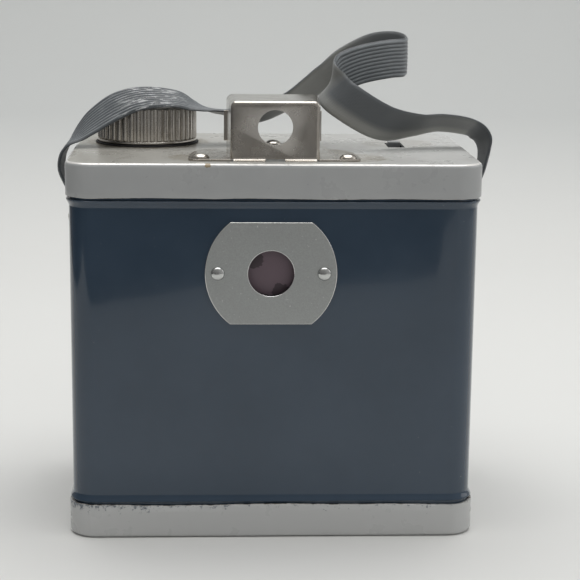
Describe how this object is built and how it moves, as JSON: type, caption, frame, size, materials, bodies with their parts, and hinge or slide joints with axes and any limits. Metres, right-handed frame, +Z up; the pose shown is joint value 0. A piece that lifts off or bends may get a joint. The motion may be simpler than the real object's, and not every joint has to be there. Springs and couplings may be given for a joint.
{
  "type": "subminiature camera",
  "caption": "Boxy subminiature camera of pressed sheet metal with a frame finder, a knurled winding knob, a round lens opening and a ribbed wrist ribbon.",
  "frame": {"origin": "middle of the bottom cap's underside, which the camera stands on", "axes": "+Z up through the caps, -Y the way the lens looks, +X to the right as the front is seen"},
  "size_m": [0.0662, 0.0401, 0.0728],
  "materials": {
    "enamel": "gloss blue-black stoved enamel on tinplate",
    "silver_paint": "satin silver-grey paint, chipped and speckled, on pressed tinplate",
    "satin_aluminium": "satin, with a bright cut edge",
    "nickel": "bright nickel plate, slightly warm and worn",
    "black_fibre": "matt black fibre",
    "brass": "plain turned brass",
    "black_wood": "dark stained wood",
    "spring_steel": "bare spring steel",
    "black_metal": "matt black paint",
    "lens_glass": "polished, with a purple-brown cast",
    "red_glass": "ruby red",
    "grey_ribbon": "charcoal blue-grey ribbed braid with a light sheen"
  },
  "bodies": {
    "camera_body": {"body_tube": "enamel", "top_cap": "silver_paint", "lens_plate": "satin_aluminium", "lens_plate_rivet_left": "satin_aluminium", "lens_plate_rivet_right": "satin_aluminium", "finder_hood": "nickel", "top_rivet_left": "nickel", "top_rivet_right": "nickel", "top_rivet_rear": "nickel", "red_window_frame": "nickel", "strap_clamp_left": "nickel", "strap_rivet_left": "nickel", "strap_clamp_right": "nickel", "strap_rivet_right": "nickel", "rear_rivet_washer": "black_fibre", "knob_washer": "black_fibre", "pawl_rivet": "brass", "pawl_spacer": "brass", "supply_spool_pin": "brass", "lens_retaining_ring": "brass", "shutter_pivot": "brass", "ratchet_pawl": "spring_steel", "pressure_spring_left": "spring_steel", "pressure_spring_right": "spring_steel", "release_spring": "spring_steel", "film_carrier": "black_metal", "pressure_plate": "black_metal", "lens_cell": "black_metal", "shutter_plate": "black_metal", "lens": "lens_glass", "red_window": "red_glass", "wrist_strap": "grey_ribbon"},
    "bottom_cap": {"bottom_cap": "silver_paint"},
    "winding_gear": {"winding_knob": "nickel", "knob_screw": "nickel", "wind_shaft": "brass", "ratchet_wheel": "brass", "take_up_spool": "black_wood"},
    "supply_spool": {"supply_spool": "black_wood"},
    "release": {"release_slide": "spring_steel"},
    "shutter": {"shutter_sector": "spring_steel"}
  },
  "joints": [
    {"name": "bottom_cap_pull", "type": "slide", "parent": "camera_body", "child": "bottom_cap", "axis": [0, 0, -1], "range_m": [0, 0.012]},
    {"name": "winding_turn", "type": "hinge", "parent": "camera_body", "child": "winding_gear", "pos_m": [-0.0191, 0.007, 0.0555], "axis": [0, 0, 1], "continuous": true},
    {"name": "supply_spool_turn", "type": "hinge", "parent": "camera_body", "child": "supply_spool", "pos_m": [0.0191, 0.007, 0.0397], "axis": [0, 0, 1], "continuous": true},
    {"name": "release_pull", "type": "slide", "parent": "camera_body", "child": "release", "axis": [0, -1, 0], "range_m": [0, 0.0028], "stiffness_N_per_m": 60, "springref_m": -0.001, "deforming": ["release_spring"]},
    {"name": "shutter_swing", "type": "hinge", "parent": "camera_body", "child": "shutter", "pos_m": [0.013, -0.01425, 0.0405], "axis": [0, 1, 0], "range_deg": [0, 11.4]}
  ],
  "couplings": [
    {"joint": "shutter_swing", "follows": "release_pull", "rad_per_m": 71}
  ]
}
